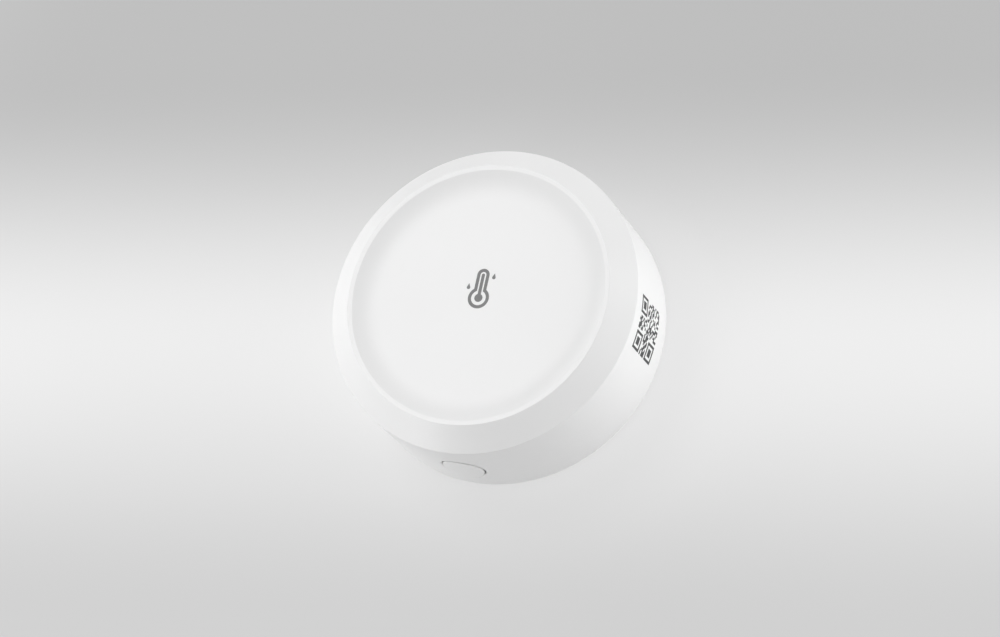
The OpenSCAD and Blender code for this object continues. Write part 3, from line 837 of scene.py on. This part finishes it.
# Matt moulding: a slow drift of tone, a fine eroded grain, and a roughness that follows both
def mouldedFinish(name, look, *pieces):
    f = Finish(name)
    drift, grain = f.noise(moulding["driftSize"]), f.noise(look["grain"], detail=3)
    dark, light = shade(look["tone"], 1 - look["drift"]), shade(look["tone"], 1 + look["drift"])
    gloss = swing(moulding["grainGloss"], grain) + swing(moulding["driftGloss"], drift)
    f.dress(pieces, {
        "Base Color": f.mix(drift, dark, light),
        "Roughness": look["roughness"] + gloss,
        "Normal": f.bump(grain, look["depth"]),
    })


housingLook = {"tone": (0.87, 0.87, 0.87), "roughness": 0.34, "grain": 0.09, "depth": 0.003, "drift": 0.006}
keyLook = {"tone": (0.87, 0.87, 0.87), "roughness": 0.34, "grain": 0.08, "depth": 0.0025, "drift": 0.006}
baseLook = {"tone": (0.82, 0.82, 0.82), "roughness": 0.55, "grain": 0.12, "depth": 0.005, "drift": 0.012}
trayLook = {"tone": (0.8, 0.8, 0.8), "roughness": 0.58, "grain": 0.14, "depth": 0.006, "drift": 0.015}
mouldedFinish("matt_white_housing", housingLook, housingShell)
mouldedFinish("matt_white_key", keyLook, buttonKey)
mouldedFinish("off_white_base", baseLook, "mounting_base")
mouldedFinish("off_white_tray", trayLook, "battery_tray")


printing = {
    "stipple": 0.06, "cloud": 1.5, "share": 0.6,
    "dark": 0.88, "light": 1.12, "gloss": 0.2, "depth": 0.002,
}


# Printed ink: fine stipple of the print in tone and gloss, slightly uneven thickness
def inkFinish(name, look, *pieces):
    f = Finish(name)
    stipple, cloud = f.noise(printing["stipple"]), f.noise(printing["cloud"])
    f.dress(pieces, {
        "Base Color": f.tones(blend(printing["share"], stipple, cloud), look["tone"], printing),
        "Roughness": look["roughness"] + swing(printing["gloss"], stipple),
        "Normal": f.bump(stipple, printing["depth"]),
    })


greyInk = {"tone": (0.2, 0.2, 0.2), "roughness": 0.55}
blackInk = {"tone": (0.035, 0.035, 0.036), "roughness": 0.5}
inkFinish("grey_ink", greyInk, pictogramPrint)
inkFinish("black_ink", blackInk, codePrint)


foamLook = {
    "tone": (0.72, 0.73, 0.74), "dark": 0.8, "light": 1.06,
    "cell": 0.32, "wallFrom": 0.45, "wallSoft": 0.25, "hollowShadeShare": 0.75, "cloud": 4,
    "roughness": 0.86, "gloss": 0.1, "depth": 0.06, "specular": 0.25,
}


# Foam: closed cells dent the surface, and painted shade darkens its hollows
def foamFinish(piece):
    f = Finish("pale_foam")
    cells = f.start.put("TexVoronoi", {"feature": "SMOOTH_F1"}, {
        "Vector": f.at, "Scale": 1 / foamLook["cell"],
    })
    cloud = f.noise(foamLook["cloud"])
    wall = cells.above(foamLook["wallFrom"], foamLook["wallSoft"])
    f.dress([piece], {
        # Painted shade: the tone is darker in the dented hollows between the cell walls
        "Base Color": f.tones(blend(foamLook["hollowShadeShare"], wall, cloud), foamLook["tone"], foamLook),
        "Roughness": foamLook["roughness"] + swing(foamLook["gloss"], cloud),
        "Normal": f.bump(wall, foamLook["depth"]),
        "Specular IOR Level": foamLook["specular"],
    })


foamFinish(foamPad)


metal = {"share": 0.5, "dark": 0.9, "light": 1.08, "lineGloss": 0.2, "stainGloss": 0.15}


# Metal with lines: noise along one value gives the turned or drawn marks, a slow stain changes the gloss
def linedMetal(name, look, along, *pieces):
    f = Finish(name)
    marks, stain = f.lines(along(f), look["line"]), f.noise(look["stain"], detail=3)
    gloss = swing(metal["lineGloss"], marks) + swing(metal["stainGloss"], stain)
    f.dress(pieces, {
        "Base Color": f.tones(blend(metal["share"], marks, stain), look["tone"], metal),
        "Metallic": 1.0,
        "Roughness": look["roughness"] + gloss,
        "Normal": f.bump(marks, look["depth"]),
    })


# A slant is how much of the height is counted in, which draws the lines on upright sides too
screwLook = {"tone": (0.6, 0.6, 0.61), "roughness": 0.32, "line": 0.09, "stain": 0.8, "depth": 0.004}
cellLook = {
    "tone": (0.7, 0.7, 0.69), "roughness": 0.3, "line": 0.12, "stain": 5, "depth": 0.002, "slant": 0.7,
}
contactLook = {"tone": (0.75, 0.58, 0.28), "roughness": 0.26, "line": 0.08, "stain": 1.5, "depth": 0.002}
coverLook = {
    "tone": (0.62, 0.63, 0.64), "roughness": 0.3, "line": 0.06, "stain": 2, "depth": 0.002, "slant": 0.6,
}
pinLook = {"tone": (0.66, 0.66, 0.65), "roughness": 0.36, "line": 0.1, "stain": 0.5, "depth": 0.004}
shieldLook = {
    "tone": (0.64, 0.64, 0.63), "roughness": 0.34, "line": 0.07, "stain": 3, "depth": 0.002, "slant": 0.4,
}
screwAt = housing["postAt"] * np.sqrt(0.5)  # the four screws stand in a square


# Turned marks run round the nearest of the four screws
def screwRings(f):
    return ((abs(f.x) - screwAt) ** 2 + (abs(f.y) - screwAt) ** 2) ** 0.5


# Rings on a cell's faces, and lines round its side
def cellRings(f):
    return f.radius() + cellLook["slant"] * f.z


linedMetal("zinc_screws", screwLook, screwRings, "tray_screws")
linedMetal("nickel_cell", cellLook, cellRings, "coin_cell_can", "coin_cell_cap")
linedMetal("gold_strip", contactLook, lambda f: f.y, "positive_contact", "negative_contact")
linedMetal("stamped_cover", coverLook, lambda f: f.y + coverLook["slant"] * f.z, "switch_cover")
linedMetal("tinned_pins", pinLook, lambda f: f.z, "switch_pins")
linedMetal("tinned_shield", shieldLook, lambda f: f.x + shieldLook["slant"] * f.z, "shield_can")


darkMoulding = {"cloud": 2, "share": 0.6, "dark": 0.7, "light": 1.3, "pitGloss": 0.16, "cloudGloss": 0.1}


# Dark mouldings: fine pits in the surface and a cloudy gloss
def darkFinish(name, look, *pieces):
    f = Finish(name)
    pits, cloud = f.noise(look["pit"], detail=3), f.noise(darkMoulding["cloud"])
    gloss = swing(darkMoulding["pitGloss"], pits) + swing(darkMoulding["cloudGloss"], cloud)
    f.dress(pieces, {
        "Base Color": f.tones(blend(darkMoulding["share"], pits, cloud), look["tone"], darkMoulding),
        "Roughness": look["roughness"] + gloss,
        "Normal": f.bump(pits, look["depth"]),
    })


gasketLook = {"tone": (0.06, 0.06, 0.06), "roughness": 0.55, "pit": 0.12, "depth": 0.004}
switchLook = {"tone": (0.03, 0.03, 0.03), "roughness": 0.5, "pit": 0.1, "depth": 0.004}
plungerLook = {"tone": (0.12, 0.12, 0.12), "roughness": 0.45, "pit": 0.1, "depth": 0.003}
darkFinish("dark_seal", gasketLook, "coin_cell_gasket")
darkFinish("black_switch", switchLook, "switch_body")
darkFinish("grey_plunger", plungerLook, "switch_plunger")


chip = {
    "pit": 0.07, "cloud": 1.5, "share": 0.6, "dark": 0.7, "light": 1.4,
    "roughness": 0.55, "pitGloss": 0.14, "markGloss": 0.25, "markSoft": 0.04,
    "topUnder": 0.05, "topSoft": 0.02, "pitHeight": 0.1, "depth": 0.04,
}


# Chip package: pitted black moulding with a round mark sunk near one corner of its top
def chipFinish(name, look, node):
    chipLow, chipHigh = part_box(node)
    f = Finish(name)
    pits, cloud = f.noise(chip["pit"], detail=3), f.noise(chip["cloud"])
    fromMark = f.radius(chipLow.x / mm + look["markIn"], chipHigh.y / mm - look["markIn"])
    top = f.z.above(chipHigh.z / mm - chip["topUnder"], chip["topSoft"])
    mark = fromMark.below(look["markR"], chip["markSoft"]) * top
    f.dress([node], {
        "Base Color": f.tones(blend(chip["share"], pits, cloud), look["tone"], chip),
        "Roughness": chip["roughness"] + swing(chip["pitGloss"], pits) - chip["markGloss"] * mark,
        "Normal": f.bump(chip["pitHeight"] * pits - mark, chip["depth"]),
    })


memoryLook = {"tone": (0.03, 0.03, 0.035), "markIn": 0.8, "markR": 0.35}
sensorLook = {"tone": (0.04, 0.04, 0.04), "markIn": 0.4, "markR": 0.14}
chipFinish("black_memory", memoryLook, "memory_chip")
chipFinish("black_sensor", sensorLook, "humidity_sensor")


filterLook = {
    "tone": (0.85, 0.85, 0.83), "dark": 0.86, "light": 1.06,
    "fibre": 0.05, "long": 6, "roughness": 0.8, "gloss": 0.2, "depth": 0.02,
}


# Membrane: fibres in two directions, soft and open
def filterFinish(node):
    f = Finish("white_membrane")
    size, long = filterLook["fibre"], filterLook["long"]
    fibre = blend(0.5, f.noise(size, stretch=(1, long, 1)), f.noise(size, stretch=(long, 1, 1)))
    f.dress([node], {
        "Base Color": f.tones(fibre, filterLook["tone"], filterLook),
        "Roughness": filterLook["roughness"] + swing(filterLook["gloss"], fibre),
        "Normal": f.bump(fibre, filterLook["depth"]),
    })


filterFinish("sensor_filter")


# Lengths that belong to the traces are in pitches of the look
board = {
    "field": 3, "edgeSoft": 0.02,
    "along": (4, 1), "across": (3, 1.3),  # how long a trace runs, and how far the next one is
    "traceSoft": 0.1, "viaEvery": 1.6, "viaSpread": 0.7, "viaTone": (0.66, 0.64, 0.58),
    "dark": 0.8, "light": 1.5, "weave": 0.3, "weaveShare": 0.3, "weaveLight": 1.1,
    "layer": 0.06, "laminate": ((0.3, 0.28, 0.16), (0.5, 0.47, 0.3)),
    "roughness": 0.75, "faceGloss": 0.42, "weaveGloss": 0.08, "depth": 0.03,
}


# Circuit board: traces under the mask run one way or the other, field by field, with tinned vias between
# them; its edge is bare laminate in layers
def boardFinish(name, look, node):
    f = Finish(name)
    pitch = look["pitch"]
    turned = f.start.put("Mapping", None, {"Vector": f.at, "Rotation": (0, 0, np.pi / 2)})

    # Joints of a brick pattern, as wide as a trace
    def traces(place, long, wide):
        return f.start.put("TexBrick", {"offset": 0.5}, {
            "Vector": place, "Scale": 1.0, "Brick Width": long * pitch, "Row Height": wide * pitch,
            "Mortar Size": look["trace"] / 2, "Mortar Smooth": board["traceSoft"],
        }, out="Fac")

    field = f.noise(pitch * board["field"], detail=0).above(0.5, board["edgeSoft"])
    copper = traces(f.at, *board["along"]) * field
    copper = copper.maths("MAXIMUM", copper, traces(turned, *board["across"]) * (1 - field))
    apart = pitch * board["viaEvery"]
    dots = f.start.put("TexVoronoi", None, {
        "Vector": f.at, "Scale": 1 / apart, "Randomness": board["viaSpread"],
    })
    via = dots.below(look["via"] / apart, board["edgeSoft"])
    top, weave = f.level(), f.noise(board["weave"])
    mask = f.tones(copper, look["tone"], board)
    mask = f.mix(board["weaveShare"] * weave, mask, shade(look["tone"], board["weaveLight"]))
    face = f.mix(via, mask, board["viaTone"])
    edge = f.mix(f.lines(f.z, board["layer"]), *board["laminate"])
    f.dress([node], {
        "Base Color": f.mix(top, edge, face),
        "Metallic": via * top,
        "Roughness": board["roughness"] - top * board["faceGloss"] + swing(board["weaveGloss"], weave),
        "Normal": f.bump(copper + via, board["depth"]),
    })


boardLook = {"tone": (0.03, 0.16, 0.07), "pitch": 1.2, "trace": 0.25, "via": 0.26}
moduleLook = {"tone": (0.02, 0.05, 0.2), "pitch": 0.8, "trace": 0.16, "via": 0.17}
boardFinish("green_board", boardLook, "main_board")
boardFinish("blue_module", moduleLook, "radio_module")


block = {
    "speck": 0.08, "cloud": 1.2, "share": 0.5, "dark": 0.85, "light": 1.12,
    "tin": (0.66, 0.66, 0.64), "endSoft": 0.02,
    "roughness": 0.5, "endGloss": 0.12, "speckGloss": 0.14, "speckHeight": 0.1, "depth": 0.03,
}


# Ceramic block with tinned ends along x. In a row of equal blocks, which has a pitch, the ends are found
# by the distance from the middle of the nearest one
def blockFinish(name, look, node):
    blockLow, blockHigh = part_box(node)
    start, long = blockLow.x / mm, (blockHigh.x - blockLow.x) / mm
    f = Finish(name)
    speck, cloud = f.noise(block["speck"]), f.noise(block["cloud"])
    along = f.x - start
    if "pitch" in look:
        along, long = along.maths("FLOORED_MODULO", along, look["pitch"]), look["long"]
    end = abs(along - long / 2).above(long / 2 - look["end"], block["endSoft"])
    body = f.tones(blend(block["share"], speck, cloud), look["tone"], block)
    f.dress([node], {
        "Base Color": f.mix(end, body, block["tin"]),
        "Metallic": end,
        "Roughness": block["roughness"] - block["endGloss"] * end + swing(block["speckGloss"], speck),
        "Normal": f.bump(end + block["speckHeight"] * speck, block["depth"]),
    })


antennaLook = {"tone": (0.78, 0.75, 0.68), "end": 0.7}
passiveLook = {"tone": (0.45, 0.35, 0.25), "end": 0.3, "pitch": 2.45, "long": 1.6}
blockFinish("pale_antenna", antennaLook, "chip_antenna")
blockFinish("tan_passives", passiveLook, "chip_passives")


capacitorLook = {
    "tone": (0.75, 0.42, 0.1), "dark": 0.9, "light": 1.1,
    "band": (0.16, 0.05, 0.02), "bandFrom": 0.7, "bandWide": 1.0, "bandSoft": 0.03,
    "grain": 0.1, "cloud": 2, "share": 0.5,
    "roughness": 0.48, "grainGloss": 0.14, "bandGloss": 0.1, "bandHeight": 0.4, "depth": 0.008,
}


# Moulded capacitor: a dark polarity band near one end of a bright body
def capacitorFinish(node):
    look = capacitorLook
    f = Finish("orange_capacitor")
    grain, cloud = f.noise(look["grain"], detail=3), f.noise(look["cloud"])
    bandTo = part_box(node)[1].x / mm - look["bandFrom"]
    band = f.x.above(bandTo - look["bandWide"], look["bandSoft"]) * f.x.below(bandTo, look["bandSoft"])
    body = f.tones(blend(look["share"], grain, cloud), look["tone"], look)
    f.dress([node], {
        "Base Color": f.mix(band, body, look["band"]),
        "Roughness": look["roughness"] + swing(look["grainGloss"], grain) - look["bandGloss"] * band,
        "Normal": f.bump(grain + look["bandHeight"] * band, look["depth"]),
    })


capacitorFinish("buffer_capacitor")


diodeLook = {
    "tone": (0.85, 0.82, 0.6), "dark": 0.92, "light": 1.08,
    "phosphor": (0.85, 0.62, 0.08), "spotR": 0.42, "spotSoft": 0.06, "cloud": 0.15,
    "roughness": 0.22, "cloudGloss": 0.12, "spotGloss": 0.1, "cloudHeight": 0.1, "depth": 0.03,
    "coat": 0.5, "coatRoughness": 0.1,
}


# Light-emitting diode: a yellow phosphor spot under a pale lens
def diodeFinish(node):
    look = diodeLook
    chipLow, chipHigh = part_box(node)
    middle = (chipLow + chipHigh) / 2 / mm
    f = Finish("clear_diode")
    spot = f.radius(middle.x, middle.y).below(look["spotR"], look["spotSoft"])
    cloud = f.noise(look["cloud"])
    body = f.tones(cloud, look["tone"], look)
    f.dress([node], {
        "Base Color": f.mix(spot, body, look["phosphor"]),
        "Roughness": look["roughness"] + swing(look["cloudGloss"], cloud) + look["spotGloss"] * spot,
        "Normal": f.bump(spot + look["cloudHeight"] * cloud, look["depth"]),
        "Coat Weight": look["coat"],
        "Coat Roughness": look["coatRoughness"],
    })


diodeFinish("status_led")


crystalLook = {
    "tone": (0.68, 0.68, 0.66), "dark": 0.88, "light": 1.08,
    "border": 0.28, "borderSoft": 0.03, "stain": 0.6,
    "roughness": 0.26, "borderGloss": 0.2, "stainGloss": 0.15, "stainHeight": 0.1, "depth": 0.03,
}


# Crystal: a plated lid with a seam-welded border, found by the distance from the nearest edge
def crystalFinish(node):
    look = crystalLook
    lidLow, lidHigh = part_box(node)
    middle, half = (lidLow + lidHigh) / 2 / mm, (lidHigh - lidLow) / 2 / mm
    f = Finish("plated_crystal")
    fromX, fromY = half.x - abs(f.x - middle.x), half.y - abs(f.y - middle.y)
    border = fromX.maths("MINIMUM", fromX, fromY).below(look["border"], look["borderSoft"])
    stain = f.noise(look["stain"], detail=3)
    f.dress([node], {
        "Base Color": f.tones(stain, look["tone"], look),
        "Metallic": 1.0,
        "Roughness": look["roughness"] + look["borderGloss"] * border + swing(look["stainGloss"], stain),
        "Normal": f.bump(look["stainHeight"] * stain - border, look["depth"]),
    })


crystalFinish("crystal")
print("finishes made")


# 1 for what the camera sees, directly, in a reflection or through glass, and 0 for light on its way
def seenRay(start):
    ray = start.put("LightPath", out="Is Camera Ray")
    seen = ray.maths("MAXIMUM", ray, ray.also("Is Glossy Ray"))
    return seen.maths("MAXIMUM", seen, ray.also("Is Transmission Ray"))


# Floor: pale grey, with a painted band of light under the object, darker before and behind it

floorLook = {
    "half": 2500,
    "steps": 9,
    "along": (-0.114, 0.9935),  # direction in which the tone changes
    "front": (-52, 0.64),  # place and tone
    "middle": (-1, 0.86),
    "back": (50, 0.52),
    "far": 0.62,
    "fadeFrom": 105,
    "fadeTo": 180,
    "mottle": 60,
    "mottleTone": 0.012,
    "mottleGloss": 0.1,
    "roughness": 0.9,
    "shadow": 0.18,  # share of what is seen that the lamps light
    "lit": 0.85,  # how light the lamps make that share
}


# A flat grid. Its tone is two smooth steps along one direction, a painted band of light, and fades to one
# grey far away. What is seen of it is partly lit, so that it keeps a soft shadow, and partly shines by
# itself
def makeFloor():
    half = floorLook["half"]
    side = np.linspace(-half, half, floorLook["steps"])
    x, y = np.meshgrid(side, side, indexing="ij")
    skin = Skin()
    index = skin.addPoints(np.stack([x, y, np.zeros_like(x)], axis=-1), np.array((0.0, 0.0, 1.0)))
    skin.addFaces(openFaces(index))
    floor = skin.build("floor")

    f = Finish("pale_floor")
    frontAt, front = floorLook["front"]
    middleAt, middle = floorLook["middle"]
    backAt, back = floorLook["back"]
    across = f.x * floorLook["along"][0] + f.y * floorLook["along"][1]
    rise = across.above((frontAt + middleAt) / 2, (middleAt - frontAt) / 2)
    fall = across.above((middleAt + backAt) / 2, (backAt - middleAt) / 2)
    fadeFrom, fadeTo = floorLook["fadeFrom"], floorLook["fadeTo"]
    far = f.radius().above((fadeFrom + fadeTo) / 2, (fadeTo - fadeFrom) / 2)
    # Painted light: a band of light under the object, darker before it, behind it and far away
    tone = front + (middle - front) * rise - (middle - back) * fall
    tone = tone * (1 - far) + floorLook["far"] * far
    mottle = f.noise(floorLook["mottle"], detail=3)
    tone = tone * (1 + swing(floorLook["mottleTone"], mottle))
    seen = seenRay(f.start)
    f.dress([floor], {
        "Base Color": tone * (1 - (1 - floorLook["shadow"]) * seen),
        "Roughness": floorLook["roughness"] + swing(floorLook["mottleGloss"], mottle),
        "Specular IOR Level": 0.0,
        "Emission Color": tone * (1 - floorLook["shadow"] * floorLook["lit"]) * seen,
        "Emission Strength": 1.0,
    })


makeFloor()


# Light: soft square lamps round the object, and a pale surrounding that gives little light itself

lamps = {
    "key_soft": {"azimuth": 233, "elevation": 61, "size": 450, "power": 3.42},
    "left_wide": {"azimuth": 303, "elevation": 36, "size": 900, "power": 5.1},
    "left_soft": {"azimuth": 241, "elevation": 22, "size": 450, "power": 1.68},
    "back_low": {"azimuth": 210, "elevation": 8, "size": 450, "power": 2.66},
    "front_low": {"azimuth": 329, "elevation": 8, "size": 450, "power": 2.66},
    "right_small": {"azimuth": 90, "elevation": 12, "size": 250, "power": 4.83},
    "right_low": {"azimuth": 120, "elevation": 8, "size": 450, "power": 4.17},
}
lampDistance, lampAim = 1000, (0, 0, 10)
surround = {"seen": 0.55, "light": 0.05}


# The surrounding is seen by the camera and in reflections at one tone, and lights at another
def makeLight():
    for name, lamp in lamps.items():
        data = bpy.data.lights.new(name, "AREA")
        data.shape, data.size, data.energy = "SQUARE", lamp["size"] * mm, lamp["power"]
        piece = bpy.data.objects.new(name, data)
        bpy.context.scene.collection.objects.link(piece)
        piece.matrix_world = lookAt(lampAim, lamp["azimuth"], lamp["elevation"], lampDistance)
    world = bpy.data.worlds.new("surround")
    world.use_nodes = True
    bpy.context.scene.world = world
    tone = surround["light"] + seenRay(Wire(world.node_tree)) * (surround["seen"] - surround["light"])
    background = world.node_tree.nodes["Background"]
    background.inputs["Color"].default_value = (1, 1, 1, 1)
    world.node_tree.links.new(tone.socket, background.inputs["Strength"])


makeLight()
bpy.context.scene.view_settings.view_transform = "Standard"
print("floor and light made")
